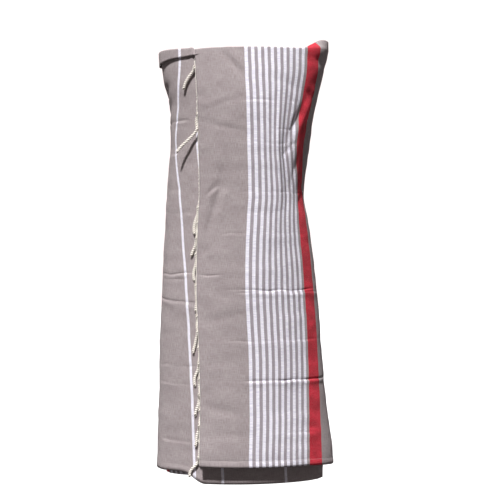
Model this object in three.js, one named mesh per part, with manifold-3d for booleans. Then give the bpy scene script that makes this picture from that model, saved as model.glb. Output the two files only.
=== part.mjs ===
// A fouta towel worn as a wrap dress: one striped cotton sheet, wound twice round a hollow body shape,
// with its fringed end hanging down the front left. The top edge is turned in across the front, stands up
// at the right shoulder and is turned out as a cuff over the back and the left side.
//
// Millimetres, +Z up, front towards -Y, right side of the wrap towards +X.
// The origin is on the axis of the wrap, level with its top edge.

import * as THREE from 'three';
import { mergeVertices } from 'three/addons/utils/BufferGeometryUtils.js';
import Module from 'manifold-3d';

const wasm = await Module();
wasm.setup();

// Driving dimensions of the cloth.
const CLOTH_LENGTH = 2000;
const CLOTH_THICKNESS = 1.4;
const TOP_FOLD_RADIUS = 2.4;
const SLACK_FROM = 140;
const SLACK_TO = 264;

// Driving dimensions of the fringe.
const STRIP_WIDTH = 5;
const STRIP_GAP = 1;
const CORD_RADIUS = 1.9;
const CORD_SPACING = 35.8;
const CORD_ON_CLOTH = 3.9;

// How finely the solids are cut.
const SECTION_STEPS = 300;
const ARC_STEPS = 4;
const FLAP_STEPS = 2;
const PANEL_STEPS = 20;

// The outline at each height: half-widths to the left and right of the axis, depth of the front, distance
// once round the outer turn, how square the plan is, the gap that one turn leaves to the next, how far left
// the fringed edge lies, how deep the gathers at the back are, and how much cloth the small folds in the
// stripes take up.
const OUTLINE = [
  { height: 40, left: 199, right: 209, front: 100, girth: 1006, square: 3.0, gap: 12.0, edge: 113, gather: 0, slack: 2 },
  { height: 0, left: 198, right: 206, front: 103, girth: 1007, square: 3.0, gap: 12.0, edge: 113, gather: 0, slack: 2 },
  { height: -77, left: 191, right: 187, front: 114, girth: 1016, square: 2.6, gap: 10.0, edge: 109, gather: 3, slack: 6 },
  { height: -150, left: 178, right: 169, front: 122, girth: 1029, square: 2.3, gap: 9.0, edge: 105, gather: 6, slack: 16 },
  { height: -240, left: 176, right: 158, front: 122, girth: 1042, square: 2.2, gap: 9.0, edge: 103, gather: 8, slack: 27 },
  { height: -354, left: 184, right: 145, front: 120, girth: 1027, square: 2.1, gap: 9.0, edge: 101, gather: 9, slack: 16 },
  { height: -417, left: 187, right: 154, front: 120, girth: 1017, square: 2.1, gap: 9.0, edge: 104, gather: 8, slack: 17 },
  { height: -500, left: 191, right: 165, front: 120, girth: 1006, square: 2.1, gap: 9.0, edge: 107, gather: 6, slack: 9 },
  { height: -600, left: 196, right: 176, front: 120, girth: 997, square: 2.1, gap: 9.5, edge: 107, gather: 5, slack: 3 },
  { height: -720, left: 200, right: 187, front: 120, girth: 996, square: 2.1, gap: 10.5, edge: 101, gather: 4, slack: 4 },
  { height: -850, left: 203, right: 198, front: 120, girth: 993, square: 2.1, gap: 14.0, edge: 99, gather: 3, slack: 6 },
  { height: -960, left: 206, right: 211, front: 121, girth: 991, square: 2.1, gap: 20.0, edge: 100, gather: 3, slack: 6 },
  { height: -1020, left: 207, right: 214, front: 121, girth: 990, square: 2.1, gap: 23.0, edge: 100, gather: 3, slack: 6 },
];

// The upper and lower edges along the cloth, from the fringed end: height of the fold at the top, height of
// the hem, how far the fold turns (-1 is fully in, 0 upright, 1 fully out) and how long the turned flap is.
const EDGES = [
  { along: 0, fold: -23, hem: -983, turn: -0.97, flap: 8 },
  { along: 40, fold: -20, hem: -983, turn: -0.97, flap: 18 },
  { along: 110, fold: -18, hem: -984, turn: -0.97, flap: 24 },
  { along: 248, fold: -18, hem: -985, turn: -0.97, flap: 26 },
  { along: 262, fold: -17, hem: -985, turn: -0.62, flap: 20 },
  { along: 282, fold: -15, hem: -987, turn: -0.46, flap: 18 },
  { along: 300, fold: -14, hem: -988, turn: -0.36, flap: 17 },
  { along: 315, fold: -13, hem: -990, turn: -0.22, flap: 16 },
  { along: 328, fold: -12, hem: -991, turn: -0.08, flap: 15 },
  { along: 345, fold: -12, hem: -993, turn: 0.0, flap: 14 },
  { along: 420, fold: -8, hem: -995, turn: 0.0, flap: 13 },
  { along: 520, fold: -4, hem: -997, turn: 0.97, flap: 22 },
  { along: 680, fold: -3, hem: -1000, turn: 0.97, flap: 24 },
  { along: 820, fold: -12, hem: -1003, turn: 1.01, flap: 30 },
  { along: 880, fold: -16, hem: -1003, turn: 1.02, flap: 30 },
  { along: 905, fold: -17, hem: -1001, turn: 1.02, flap: 28 },
  { along: 945, fold: -18, hem: -1003, turn: 1.01, flap: 21 },
  { along: 975, fold: -19, hem: -1021, turn: 1.0, flap: 18 },
  { along: 988, fold: -19, hem: -1026, turn: 0.98, flap: 17 },
  { along: 999, fold: -19, hem: -1026, turn: 0.97, flap: 16 },
  { along: 1011, fold: -36, hem: -1026, turn: 0.6, flap: 8 },
  { along: 1028, fold: -42, hem: -1026, turn: 0.2, flap: 8 },
  { along: 1100, fold: -42, hem: -1026, turn: 0.0, flap: 6 },
  { along: 1300, fold: -38, hem: -1026, turn: 0.0, flap: 6 },
  { along: 1450, fold: -32, hem: -1026, turn: 0.0, flap: 6 },
  { along: 1750, fold: -34, hem: -1014, turn: 0.0, flap: 6 },
  { along: 1900, fold: -36, hem: -1010, turn: 0.0, flap: 6 },
  { along: 2000, fold: -38, hem: -1010, turn: 0.0, flap: 6 },
];

// Soft folds and troughs: centre along the cloth and in height, the slope of its line in degrees from level,
// half its length, half its width, and how far it rises (or sinks, when negative).
const FOLDS = [
  { name: 'waist swirl', along: 260, height: -186, slope: 66, reach: 50, spread: 12, rise: -8 },
  { name: 'waist roll', along: 280, height: -166, slope: 66, reach: 50, spread: 13, rise: 6 },
  { name: 'stripe gather left', along: 196, height: -268, slope: 88, reach: 120, spread: 9, rise: 4 },
  { name: 'stripe gather right', along: 224, height: -268, slope: 88, reach: 120, spread: 9, rise: -4 },
  { name: 'side hollow', along: 300, height: -265, slope: 84, reach: 90, spread: 24, rise: -7 },
  { name: 'shoulder pull', along: 305, height: -42, slope: -8, reach: 60, spread: 10, rise: -4 },
  { name: 'armhole fold upper', along: 900, height: -112, slope: 22, reach: 40, spread: 13, rise: -5 },
  { name: 'armhole fold lower', along: 900, height: -160, slope: 30, reach: 42, spread: 14, rise: -5 },
  { name: 'hip trough', along: 44, height: -420, slope: 78, reach: 120, spread: 20, rise: -4 },
  { name: 'front swell', along: 150, height: -480, slope: 84, reach: 230, spread: 60, rise: 4 },
];

// Where the cords of the outer fringe hang, named by their place along the edge from the top: how far the
// tip ends to the left of the edge (to the right, tucked behind the cloth, when negative), its length, and
// how far a stiff one stands off the cloth at its tip.
const OUTER_CORDS = [
  { tip: 34, length: 62, lift: 4 }, { tip: -14, length: 50 }, { tip: -12, length: 52 }, { tip: 8, length: 36 },
  { tip: 43, length: 70, lift: 22 }, { tip: -16, length: 50 }, { tip: -14, length: 52 }, { tip: -16, length: 50 },
  { tip: -13, length: 50 }, { tip: 12, length: 66 }, { tip: 4, length: 50 }, { tip: 14, length: 46 },
  { tip: 9, length: 66 }, { tip: -14, length: 50 }, { tip: 5, length: 64 }, { tip: -12, length: 50 },
  { tip: 4, length: 48 }, { tip: 18, length: 56 }, { tip: 4, length: 52 }, { tip: 17, length: 60 },
  { tip: 5, length: 50 }, { tip: 14, length: 56 }, { tip: 4, length: 50 }, { tip: 16, length: 56 },
  { tip: 5, length: 38 }, { tip: 30, length: 62 },
];

// Reads a column of a table at a place, on a smooth curve through its rows.
function read(table, key, column, place) {
  const rows = table[0][key] > table[table.length - 1][key] ? [...table].reverse() : table;
  const last = rows.length - 1;
  const clamped = Math.min(Math.max(place, rows[0][key]), rows[last][key]);
  let k = 0;
  while (k < last - 1 && rows[k + 1][key] < clamped) k += 1;
  const slopeAt = (i) => {
    const a = rows[Math.max(i - 1, 0)];
    const b = rows[Math.min(i + 1, last)];
    return (b[column] - a[column]) / (b[key] - a[key]);
  };
  const step = rows[k + 1][key] - rows[k][key];
  const t = (clamped - rows[k][key]) / step;
  const before = (1 + 2 * t) * (1 - t) ** 2 * rows[k][column] + t * (1 - t) ** 2 * step * slopeAt(k);
  const after = t * t * (3 - 2 * t) * rows[k + 1][column] + t * t * (t - 1) * step * slopeAt(k + 1);
  return before + after;
}

const smooth = (low, high, x) => THREE.MathUtils.smoothstep(x, low, high);

// How far out a turn lies from the outline, in gaps: the fringed end lies over the cloth that comes round
// beneath it, and each later turn lies one gap further in.
function lift(turns) {
  const start = 0.5 * (1 - smooth(0, 0.16, turns));
  const under = 0.5 * smooth(0.8, 1.0, turns) + 0.5 * smooth(1.0, 1.2, turns);
  return start - under - 0.5 * smooth(1.8, 2.0, turns) - 0.3 * smooth(2.0, 2.2, turns);
}

// The plan outline at one height: a rounded form with its own half-width and depth on each side, gathered
// softly at the back. The angle is 0 at the front and grows towards the right side.
function planPoint(row, backDepth, angle, inward) {
  const power = 2 / row.square;
  const across = Math.sin(angle);
  const ahead = Math.cos(angle);
  const wide = (across > 0 ? row.right : row.left) + inward;
  const deep = (ahead > 0 ? row.front : backDepth) + inward;
  const behind = smooth(0.15, 0.75, -ahead);
  const gather = row.gather * behind * (Math.cos(15 * angle + 0.9 * Math.sin(row.height / 130)) - 0.4);
  const x = (wide + gather) * Math.sign(across) * Math.abs(across) ** power;
  const y = -(deep + gather) * Math.sign(ahead) * Math.abs(ahead) ** power;
  return new THREE.Vector2(x, y);
}

// The angle at which the outline stands as far left as the fringed edge.
function edgeAngle(row) {
  return -Math.asin((row.edge / (row.left + 0.5 * row.gap)) ** (row.square / 2));
}

// Winds the sheet at one height and returns its place for each distance along the cloth. The depth of the
// back follows from the girth.
const sections = new Map();
function section(height) {
  const key = Math.round(height * 10);
  if (sections.has(key)) return sections.get(key);
  const row = { height: key / 10 };
  for (const name of ['left', 'right', 'front', 'girth', 'square', 'gap', 'edge', 'gather', 'slack']) {
    row[name] = read(OUTLINE, 'height', name, row.height);
  }
  const first = edgeAngle(row);
  const wind = (backDepth, turns) => {
    const line = [];
    let length = 0;
    for (let k = 0; k <= turns * SECTION_STEPS; k += 1) {
      const share = k / SECTION_STEPS;
      const angle = first + share * 2 * Math.PI;
      const place = planPoint(row, backDepth, angle, row.gap * lift(share));
      if (k > 0) length += place.distanceTo(line[k - 1].place);
      line.push({ place, length });
    }
    return line;
  };
  let low = 40;
  let high = 320;
  for (let k = 0; k < 24; k += 1) {
    const middle = (low + high) / 2;
    const round = wind(middle, 1);
    if (round[round.length - 1].length > row.girth - row.slack) high = middle;
    else low = middle;
  }
  const made = { row, line: wind((low + high) / 2, 2.4) };
  sections.set(key, made);
  return made;
}

// The place of the sheet's middle surface at a distance along the cloth and a height, without folds.
function bare(along, height) {
  const { line, row } = section(height);
  const reached = along - row.slack * smooth(SLACK_FROM, SLACK_TO, along);
  let a = 0;
  let b = line.length - 1;
  while (b - a > 1) {
    const middle = (a + b) >> 1;
    if (line[middle].length > reached) b = middle;
    else a = middle;
  }
  const t = (reached - line[a].length) / (line[b].length - line[a].length);
  const spot = line[a].place.clone().lerp(line[b].place, t);
  return new THREE.Vector3(spot.x, spot.y, height);
}

// The outward normal of the sheet, from its neighbours along and above.
function outward(along, height) {
  const side = bare(along + 6, height).sub(bare(along - 6, height));
  const up = bare(along, height + 12).sub(bare(along, height - 12));
  return side.cross(up).normalize();
}

// How far the soft folds move the sheet along its normal.
function foldRise(along, height) {
  let rise = 0;
  for (const fold of FOLDS) {
    const slope = THREE.MathUtils.degToRad(fold.slope);
    const dx = along - fold.along;
    const dz = height - fold.height;
    const on = (dx * Math.cos(slope) + dz * Math.sin(slope)) / fold.reach;
    const off = (dz * Math.cos(slope) - dx * Math.sin(slope)) / fold.spread;
    rise += fold.rise * Math.exp(-(on * on) - off * off);
  }
  return rise;
}

// The turn beneath repeats the folds of the turn above, so that the two never meet.
function sheetPoint(along, height) {
  const { girth } = section(height).row;
  const under = along > girth ? along - girth : along;
  return bare(along, height).addScaledVector(outward(along, height), foldRise(under, height));
}

// One column of the sheet, from the hem up to the fold, round it and along the turned flap.
function column(along) {
  const fold = read(EDGES, 'along', 'fold', along);
  const hem = read(EDGES, 'along', 'hem', along);
  const turn = read(EDGES, 'along', 'turn', along) * Math.PI;
  const flap = read(EDGES, 'along', 'flap', along);
  const top = fold - TOP_FOLD_RADIUS;
  const points = [];
  for (let k = 0; k <= PANEL_STEPS; k += 1) {
    points.push(sheetPoint(along, hem + (top - hem) * (k / PANEL_STEPS)));
  }
  const out = outward(along, top);
  const up = new THREE.Vector3(0, 0, 1);
  const bend = (Math.PI * TOP_FOLD_RADIUS) / ARC_STEPS;
  const stride = flap / FLAP_STEPS;
  let spot = points[points.length - 1].clone();
  for (let k = 1; k <= ARC_STEPS + FLAP_STEPS; k += 1) {
    const curled = turn * Math.min(1, (k - 0.5) / ARC_STEPS);
    const step = k <= ARC_STEPS ? bend : stride;
    spot = spot.clone().addScaledVector(out, Math.sin(curled) * step).addScaledVector(up, Math.cos(curled) * step);
    points.push(spot);
  }
  return points;
}

// A closed sheet of even thickness over a grid of points, columns first.
function sheetGeometry(grid, thickness) {
  const columns = grid.length;
  const rows = grid[0].length;
  const at = (i, j) => grid[Math.min(Math.max(i, 0), columns - 1)][Math.min(Math.max(j, 0), rows - 1)];
  const positions = [];
  for (const side of [1, -1]) {
    for (let i = 0; i < columns; i += 1) {
      for (let j = 0; j < rows; j += 1) {
        const acrossIt = at(i + 1, j).clone().sub(at(i - 1, j)).normalize();
        const alongIt = at(i, j + 1).clone().sub(at(i, j - 1)).normalize();
        const normal = acrossIt.cross(alongIt).normalize();
        const point = grid[i][j].clone().addScaledVector(normal, (side * thickness) / 2);
        positions.push(point.x, point.y, point.z);
      }
    }
  }
  const layer = columns * rows;
  const id = (i, j, inner) => inner * layer + i * rows + j;
  const faces = [];
  const quad = (a, b, c, d) => faces.push(a, b, c, a, c, d);
  for (let i = 0; i + 1 < columns; i += 1) {
    for (let j = 0; j + 1 < rows; j += 1) {
      quad(id(i, j, 0), id(i + 1, j, 0), id(i + 1, j + 1, 0), id(i, j + 1, 0));
      quad(id(i, j, 1), id(i, j + 1, 1), id(i + 1, j + 1, 1), id(i + 1, j, 1));
    }
  }
  for (let i = 0; i + 1 < columns; i += 1) {
    quad(id(i, 0, 1), id(i + 1, 0, 1), id(i + 1, 0, 0), id(i, 0, 0));
    quad(id(i, rows - 1, 0), id(i + 1, rows - 1, 0), id(i + 1, rows - 1, 1), id(i, rows - 1, 1));
  }
  for (let j = 0; j + 1 < rows; j += 1) {
    quad(id(0, j, 0), id(0, j + 1, 0), id(0, j + 1, 1), id(0, j, 1));
    quad(id(columns - 1, j, 1), id(columns - 1, j + 1, 1), id(columns - 1, j + 1, 0), id(columns - 1, j, 0));
  }
  const geometry = new THREE.BufferGeometry();
  geometry.setAttribute('position', new THREE.Float32BufferAttribute(positions, 3));
  geometry.setIndex(faces);
  return geometry;
}

// Distances along the cloth for its columns: close together where the cloth shows at the front and where
// the top fold changes, and wider apart over the back and the hidden inner turn.
function columnPlaces() {
  const stretches = [
    { from: 0, to: 400, step: 18 },
    { from: 400, to: 860, step: 26 },
    { from: 860, to: 1040, step: 16 },
    { from: 1040, to: 1420, step: 32 },
    { from: 1420, to: CLOTH_LENGTH, step: 32 },
  ];
  const places = [0];
  for (const { from, to, step } of stretches) {
    const count = Math.round((to - from) / step);
    for (let k = 1; k <= count; k += 1) places.push(from + ((to - from) * k) / count);
  }
  return places;
}

// A closed geometry as a solid, and back again.
function solidOf(geometry) {
  const bareGeometry = geometry.clone();
  bareGeometry.deleteAttribute('normal');
  bareGeometry.deleteAttribute('uv');
  const merged = mergeVertices(bareGeometry, 1e-4);
  return new wasm.Manifold(new wasm.Mesh({
    numProp: 3,
    vertProperties: Float32Array.from(merged.attributes.position.array),
    triVerts: Uint32Array.from(merged.index.array),
  }));
}

function geometryOf(solid) {
  const mesh = solid.getMesh();
  const geometry = new THREE.BufferGeometry();
  geometry.setAttribute('position', new THREE.BufferAttribute(mesh.vertProperties, 3));
  geometry.setIndex(new THREE.BufferAttribute(mesh.triVerts, 1));
  return geometry;
}

// A three-sided cord along a path.
function cordGeometry(path) {
  const outline = new THREE.Shape();
  for (let k = 0; k < 3; k += 1) {
    const angle = (k * 2 * Math.PI) / 3;
    const corner = [CORD_RADIUS * Math.cos(angle), CORD_RADIUS * Math.sin(angle)];
    if (k === 0) outline.moveTo(...corner);
    else outline.lineTo(...corner);
  }
  outline.closePath();
  const curve = new THREE.CatmullRomCurve3(path);
  return new THREE.ExtrudeGeometry(outline, { steps: 6, bevelEnabled: false, extrudePath: curve });
}

// Where the fringed edge lies over the cloth beneath it: the distance along that cloth, and how far above it.
function edgeOver(height) {
  const edge = bare(0, height);
  const { girth } = section(height).row;
  let along = girth;
  for (let step = -12; step <= 12; step += 0.5) {
    if (bare(girth + step, height).distanceTo(edge) < bare(along, height).distanceTo(edge)) along = girth + step;
  }
  return { along, above: bare(along, height).distanceTo(edge) };
}

// A point beside the fringed edge: how far left of the edge it lies, its height, and how far it stands off
// the cloth that passes beneath.
function besideEdge(leftOf, height, standOff) {
  const along = edgeOver(height).along - leftOf;
  return bare(along, height).addScaledVector(outward(along, height), standOff);
}

// A point on an end of the cloth, on the straight runs between the rows of its column.
function endPoint(along, place) {
  const fold = read(EDGES, 'along', 'fold', along) - TOP_FOLD_RADIUS;
  const hem = read(EDGES, 'along', 'hem', along);
  const height = (row) => hem + ((fold - hem) * row) / PANEL_STEPS;
  const row = Math.min(Math.floor(place), PANEL_STEPS - 1);
  return sheetPoint(along, height(row)).lerp(sheetPoint(along, height(row + 1)), place - row);
}

// A point beside an end of the cloth, in the plane of the sheet.
function beyondEnd(atStart, place, distance) {
  const end = endPoint(atStart ? 0 : CLOTH_LENGTH, place);
  const inside = endPoint(atStart ? 5 : CLOTH_LENGTH - 5, place);
  return end.clone().addScaledVector(end.clone().sub(inside).normalize(), distance);
}

// The strip of unwoven ends parted from one end of the cloth.
function stripGeometry(atStart) {
  const places = [0.05];
  for (let row = 1; row < PANEL_STEPS; row += 1) places.push(row);
  places.push(PANEL_STEPS - 0.65);
  const far = places.map((place) => beyondEnd(atStart, place, STRIP_GAP + STRIP_WIDTH));
  const near = places.map((place) => beyondEnd(atStart, place, STRIP_GAP));
  return sheetGeometry(atStart ? [far, near] : [near, far], CLOTH_THICKNESS);
}

// The path of a cord of the outer fringe, from inside the strip down to its tip.
function outerCordPath(root, cord) {
  const gap = edgeOver(root).above;
  const start = STRIP_GAP + 0.7 * STRIP_WIDTH;
  const points = [];
  const shares = [0, 0.12, 0.35, 0.65, 1];
  for (const share of shares) {
    const sideways = cord.tip < 0 ? smooth(0.34, 1, share) : smooth(0, 1, share);
    const leftOf = start + (cord.tip - start) * sideways;
    const fall = share * Math.sqrt(Math.max(cord.length ** 2 - cord.tip ** 2, 400));
    const standOff = gap + (CORD_ON_CLOTH - gap) * smooth(0, 0.34, share) + (cord.lift ?? 0) * share;
    points.push(besideEdge(leftOf, root - fall, standOff));
  }
  return points;
}

// The path of a cord of the inner fringe, which hangs straight down inside the wrap.
function innerCordPath(root, length) {
  const fold = read(EDGES, 'along', 'fold', CLOTH_LENGTH) - TOP_FOLD_RADIUS;
  const hem = read(EDGES, 'along', 'hem', CLOTH_LENGTH);
  const out = outward(CLOTH_LENGTH, root);
  const place = ((root - hem) / (fold - hem)) * PANEL_STEPS;
  const start = beyondEnd(false, place, STRIP_GAP + 3.6).addScaledVector(out, -1);
  return [0, 0.2, 0.6, 1].map((share) => {
    const drop = new THREE.Vector3(0, 0, -length * share);
    return start.clone().addScaledVector(out, -8 * Math.sqrt(share)).add(drop);
  });
}

function fringeGeometry(atStart) {
  let fringe = solidOf(stripGeometry(atStart));
  const top = read(EDGES, 'along', 'fold', atStart ? 0 : CLOTH_LENGTH) - 38;
  OUTER_CORDS.forEach((cord, index) => {
    const root = top - index * CORD_SPACING;
    const path = atStart ? outerCordPath(root, cord) : innerCordPath(root, 58);
    fringe = fringe.add(solidOf(cordGeometry(path)));
  });
  return geometryOf(fringe);
}

function named(name, geometry, material) {
  const mesh = new THREE.Mesh(geometry, material);
  mesh.name = name;
  return mesh;
}

const cotton = new THREE.MeshStandardMaterial({ color: 0xa99c9a, roughness: 0.92, metalness: 0 });
const cream = new THREE.MeshStandardMaterial({ color: 0xe6ddcf, roughness: 0.9, metalness: 0 });

const towel = new THREE.Group();
towel.add(named('cloth', sheetGeometry(columnPlaces().map(column), CLOTH_THICKNESS), cotton));
towel.add(named('fringe_outer', fringeGeometry(true), cream));
towel.add(named('fringe_inner', fringeGeometry(false), cream));

export default towel;
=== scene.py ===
"""A fouta towel wound as a wrap: striped flat-weave cotton with a fringe of twisted cords.

The CAD frame gives the hollow wound sheet. This script rebuilds that sheet with a fine mesh, its soft folds,
hems and wrinkles, and gives it a woven cotton material. The two fringes are twisted cords on their yarns.
"""

import logging
import math
from dataclasses import dataclass
from enum import Enum
from typing import Sequence

import bpy
import numpy as np
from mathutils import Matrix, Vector

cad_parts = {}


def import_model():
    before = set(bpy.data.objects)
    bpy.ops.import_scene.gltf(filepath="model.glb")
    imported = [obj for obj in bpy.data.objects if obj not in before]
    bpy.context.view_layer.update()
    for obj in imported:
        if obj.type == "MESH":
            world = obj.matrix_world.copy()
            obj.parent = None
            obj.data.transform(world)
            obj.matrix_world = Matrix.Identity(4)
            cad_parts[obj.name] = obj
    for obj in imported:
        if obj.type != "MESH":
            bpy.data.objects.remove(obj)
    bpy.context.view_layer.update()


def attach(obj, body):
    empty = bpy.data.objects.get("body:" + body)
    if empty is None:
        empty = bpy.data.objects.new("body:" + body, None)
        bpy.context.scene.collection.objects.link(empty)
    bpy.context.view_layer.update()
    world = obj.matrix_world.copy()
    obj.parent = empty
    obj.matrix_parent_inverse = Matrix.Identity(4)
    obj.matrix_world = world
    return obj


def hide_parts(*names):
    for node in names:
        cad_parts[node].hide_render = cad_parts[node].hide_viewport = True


LOG = logging.getLogger("fouta")

MM = 0.001
CLOTH_LENGTH = 2000.0
CLOTH_THICKNESS = 1.2
TOP_FOLD_RADIUS = 2.4
STRIP_GAP = 1.0
STRIP_WIDTH = 5.0
CORD_SPACING = 35.8
CORD_ON_CLOTH = 3.6
ACROSS_GUIDE = (0.31, 0.87, 0.38)
TINY = 1e-9


class Side(Enum):
    """The two short ends of the cloth."""

    OUTER = "outer"
    INNER = "inner"

    @property
    def seed(self) -> int:
        """The seed of the random numbers of this end's fringe."""
        return 7 if self is Side.OUTER else 11


class Slot(Enum):
    """The record's material slots."""

    COTTON = "striped_cotton"
    CORD = "cream_cord"


@dataclass(frozen=True)
class Table:
    """Rows of numbers under named columns, read on a smooth curve through the rows.

    Args:
        columns: names of the columns, the first being the one that places are looked up in.
        rows: the rows, in rising order of the first column.
    """

    columns: tuple[str, ...]
    rows: tuple[tuple[float, ...], ...]

    def read(self, column: str, place: np.ndarray) -> np.ndarray:
        """Reads a column at one or more places.

        Args:
            column: name of the column.
            place: places along the first column.

        Returns:
            The values there.
        """
        data = np.array(self.rows, dtype=float)
        key = data[:, 0]
        value = data[:, self.columns.index(column)]
        last = len(key) - 1
        low = np.maximum(np.arange(last + 1) - 1, 0)
        high = np.minimum(np.arange(last + 1) + 1, last)
        slope = (value[high] - value[low]) / (key[high] - key[low])
        at = np.clip(np.asarray(place, dtype=float), key[0], key[-1])
        k = np.clip(np.searchsorted(key, at, side="left") - 1, 0, last - 1)
        step = key[k + 1] - key[k]
        t = (at - key[k]) / step
        before = (1 + 2 * t) * (1 - t) ** 2 * value[k] + t * (1 - t) ** 2 * step * slope[k]
        after = t * t * (3 - 2 * t) * value[k + 1] + t * t * (t - 1) * step * slope[k + 1]
        return before + after


OUTLINE = Table(
    ("height", "left", "right", "front", "girth", "square", "gap", "edge", "gather", "slack"),
    (
        (-1020, 207, 214, 121, 990, 2.1, 23.0, 100, 3, 6),
        (-960, 206, 211, 121, 991, 2.1, 20.0, 100, 3, 6),
        (-850, 203, 198, 120, 993, 2.1, 14.0, 99, 3, 6),
        (-720, 200, 187, 120, 996, 2.1, 10.5, 101, 4, 4),
        (-600, 196, 176, 120, 997, 2.1, 9.5, 107, 5, 3),
        (-500, 191, 165, 120, 1006, 2.1, 9.0, 107, 6, 9),
        (-417, 187, 154, 120, 1017, 2.1, 9.0, 104, 8, 17),
        (-354, 184, 145, 120, 1027, 2.1, 9.0, 101, 9, 16),
        (-240, 176, 158, 122, 1042, 2.2, 9.0, 103, 8, 27),
        (-150, 178, 169, 122, 1029, 2.3, 9.0, 105, 6, 16),
        (-77, 191, 187, 114, 1016, 2.6, 10.0, 109, 3, 6),
        (0, 198, 206, 103, 1007, 3.0, 12.0, 113, 0, 2),
        (40, 199, 209, 100, 1006, 3.0, 12.0, 113, 0, 2),
    ),
)

EDGES = Table(
    ("along", "fold", "hem", "turn", "flap"),
    (
        (0, -23, -983, -0.97, 8),
        (40, -20, -983, -0.97, 18),
        (110, -18, -984, -0.97, 24),
        (248, -18, -985, -0.97, 26),
        (262, -17, -985, -0.62, 20),
        (282, -15, -987, -0.46, 18),
        (300, -14, -988, -0.36, 17),
        (315, -13, -990, -0.22, 16),
        (328, -12, -991, -0.08, 15),
        (345, -12, -993, 0.0, 14),
        (420, -8, -995, 0.0, 13),
        (520, -4, -997, 0.97, 22),
        (680, -3, -1000, 0.97, 24),
        (820, -12, -1003, 1.01, 30),
        (880, -16, -1003, 1.02, 30),
        (905, -17, -1001, 1.02, 28),
        (945, -18, -1003, 1.01, 21),
        (975, -19, -1021, 1.0, 18),
        (988, -19, -1026, 0.98, 17),
        (999, -19, -1026, 0.97, 16),
        (1011, -36, -1026, 0.6, 8),
        (1028, -42, -1026, 0.2, 8),
        (1100, -42, -1026, 0.0, 6),
        (1300, -38, -1026, 0.0, 6),
        (1450, -32, -1026, 0.0, 6),
        (1750, -34, -1014, 0.0, 6),
        (1900, -36, -1010, 0.0, 6),
        (2000, -38, -1010, 0.0, 6),
    ),
)


@dataclass(frozen=True)
class Fold:
    """A soft fold or trough of the sheet.

    Args:
        name: what it is.
        along: its centre along the cloth, in millimetres.
        height: its centre's height.
        slope: the slope of its line, in degrees from level.
        reach: half its length.
        spread: half its width.
        rise: how far it rises, or sinks when negative.
    """

    name: str
    along: float
    height: float
    slope: float
    reach: float
    spread: float
    rise: float

    def at(self, along: np.ndarray, height: np.ndarray) -> np.ndarray:
        """Gives the rise of the fold.

        Args:
            along: distances along the cloth.
            height: heights.

        Returns:
            The rise at each place.
        """
        slope = math.radians(self.slope)
        across = along - self.along
        above = height - self.height
        on_line = (across * math.cos(slope) + above * math.sin(slope)) / self.reach
        off_line = (above * math.cos(slope) - across * math.sin(slope)) / self.spread
        return self.rise * np.exp(-(on_line**2) - off_line**2)


FOLDS = (
    Fold("waist swirl", 260, -186, 66, 50, 12, -8),
    Fold("waist roll", 280, -166, 66, 50, 13, 6),
    Fold("stripe gather left", 196, -268, 88, 120, 9, 4),
    Fold("stripe gather right", 224, -268, 88, 120, 9, -4),
    Fold("side hollow", 300, -265, 84, 90, 24, -7),
    Fold("shoulder pull", 305, -42, -8, 60, 10, -4),
    Fold("armhole fold upper", 900, -112, 22, 40, 13, -5),
    Fold("armhole fold lower", 900, -160, 30, 42, 14, -5),
    Fold("hip trough", 44, -420, 78, 120, 20, -4),
    Fold("front swell", 150, -480, 84, 230, 60, 4),
)


@dataclass(frozen=True)
class Cord:
    """One cord of the outer fringe.

    Args:
        tip: how far left of the edge its tip ends, or right of it and tucked behind when negative.
        length: its length.
        lift: how far it stands off the cloth at its tip.
    """

    tip: float
    length: float
    lift: float = 0.0


OUTER_CORDS = (
    Cord(34, 62, 4), Cord(-14, 50), Cord(-12, 52), Cord(8, 36), Cord(43, 70, 22), Cord(-16, 50),
    Cord(-14, 52), Cord(-16, 50), Cord(-13, 50), Cord(12, 66), Cord(4, 50), Cord(14, 46), Cord(9, 66),
    Cord(-14, 50), Cord(5, 64), Cord(-12, 50), Cord(4, 48), Cord(18, 56), Cord(4, 52), Cord(17, 60),
    Cord(5, 50), Cord(14, 56), Cord(4, 50), Cord(16, 56), Cord(5, 38), Cord(30, 62),
)


def smooth(low: float, high: float, x: np.ndarray) -> np.ndarray:
    """Eases from 0 to 1 between two places.

    Args:
        low: where it starts.
        high: where it ends.
        x: places.

    Returns:
        The eased share at each place.
    """
    t = np.clip((np.asarray(x, dtype=float) - low) / (high - low), 0.0, 1.0)
    return t * t * (3 - 2 * t)


@dataclass(frozen=True)
class Gathers:
    """The soft upright gathers of the back.

    Args:
        waves: number of waves in a whole turn.
        sway: how far the waves drift to the side, in radians.
        sway_length: the height over which they drift by one radian.
        level: how far inward their middle lies, as a share of a wave.
        start: how far behind the widest place they start, as a share of the depth.
        full: where they have their full depth.
    """

    waves: int = 15
    sway: float = 0.9
    sway_length: float = 130.0
    level: float = 0.4
    start: float = 0.15
    full: float = 0.75

    def at(self, angle: np.ndarray, height: float) -> np.ndarray:
        """Gives the gathers at places round the wrap, in shares of their depth."""
        behind = smooth(self.start, self.full, -np.cos(angle))
        drift = self.sway * math.sin(height / self.sway_length)
        return behind * (np.cos(self.waves * angle + drift) - self.level)


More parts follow.
